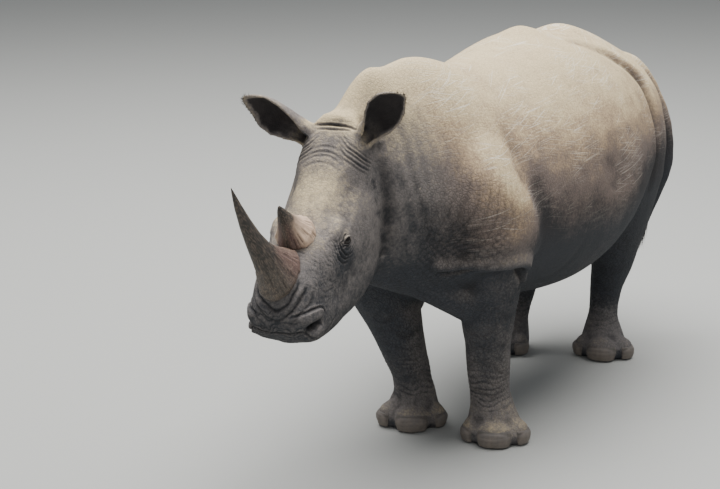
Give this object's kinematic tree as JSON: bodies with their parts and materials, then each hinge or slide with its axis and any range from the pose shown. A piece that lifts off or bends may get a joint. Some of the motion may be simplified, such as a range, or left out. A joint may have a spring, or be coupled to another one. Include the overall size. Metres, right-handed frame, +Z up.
{
  "type": "rhinoceros model",
  "caption": "Life-size still model of a standing adult white rhinoceros with lowered head, two horns, cupped ears and three-toed feet.",
  "frame": {"origin": "middle of the animal's outline from above, on the ground it stands on", "axes": "+Z up, -Y the way the animal faces, +X its left side"},
  "size_m": [1.0812, 3.5026, 1.6848],
  "materials": {
    "hide": "thick folded grey hide with a film of dry pale mud",
    "ear": "thin grey hide, darker inside the cup",
    "horn": "fibrous dark horn, worn smooth towards the tip",
    "nail": "worn grey-brown hoof plate",
    "eye": "wet dark brown"
  },
  "bodies": {
    "root": {"trunk": "hide", "neck": "hide", "head": "hide", "lower_jaw": "hide", "tail": "hide", "foreleg_left": "hide", "foreleg_right": "hide", "forefoot_left": "hide", "forefoot_right": "hide", "thigh_left": "hide", "thigh_right": "hide", "hind_leg_left": "hide", "hind_leg_right": "hide", "hind_foot_left": "hide", "hind_foot_right": "hide", "ear_left": "ear", "ear_right": "ear", "eye_left": "eye", "eye_right": "eye", "front_horn": "horn", "rear_horn": "horn", "nail_forefoot_left_inner": "nail", "nail_forefoot_left_middle": "nail", "nail_forefoot_left_outer": "nail", "nail_forefoot_right_inner": "nail", "nail_forefoot_right_middle": "nail", "nail_forefoot_right_outer": "nail", "nail_hind_foot_left_inner": "nail", "nail_hind_foot_left_middle": "nail", "nail_hind_foot_left_outer": "nail", "nail_hind_foot_right_inner": "nail", "nail_hind_foot_right_middle": "nail", "nail_hind_foot_right_outer": "nail"}
  },
  "joints": []
}
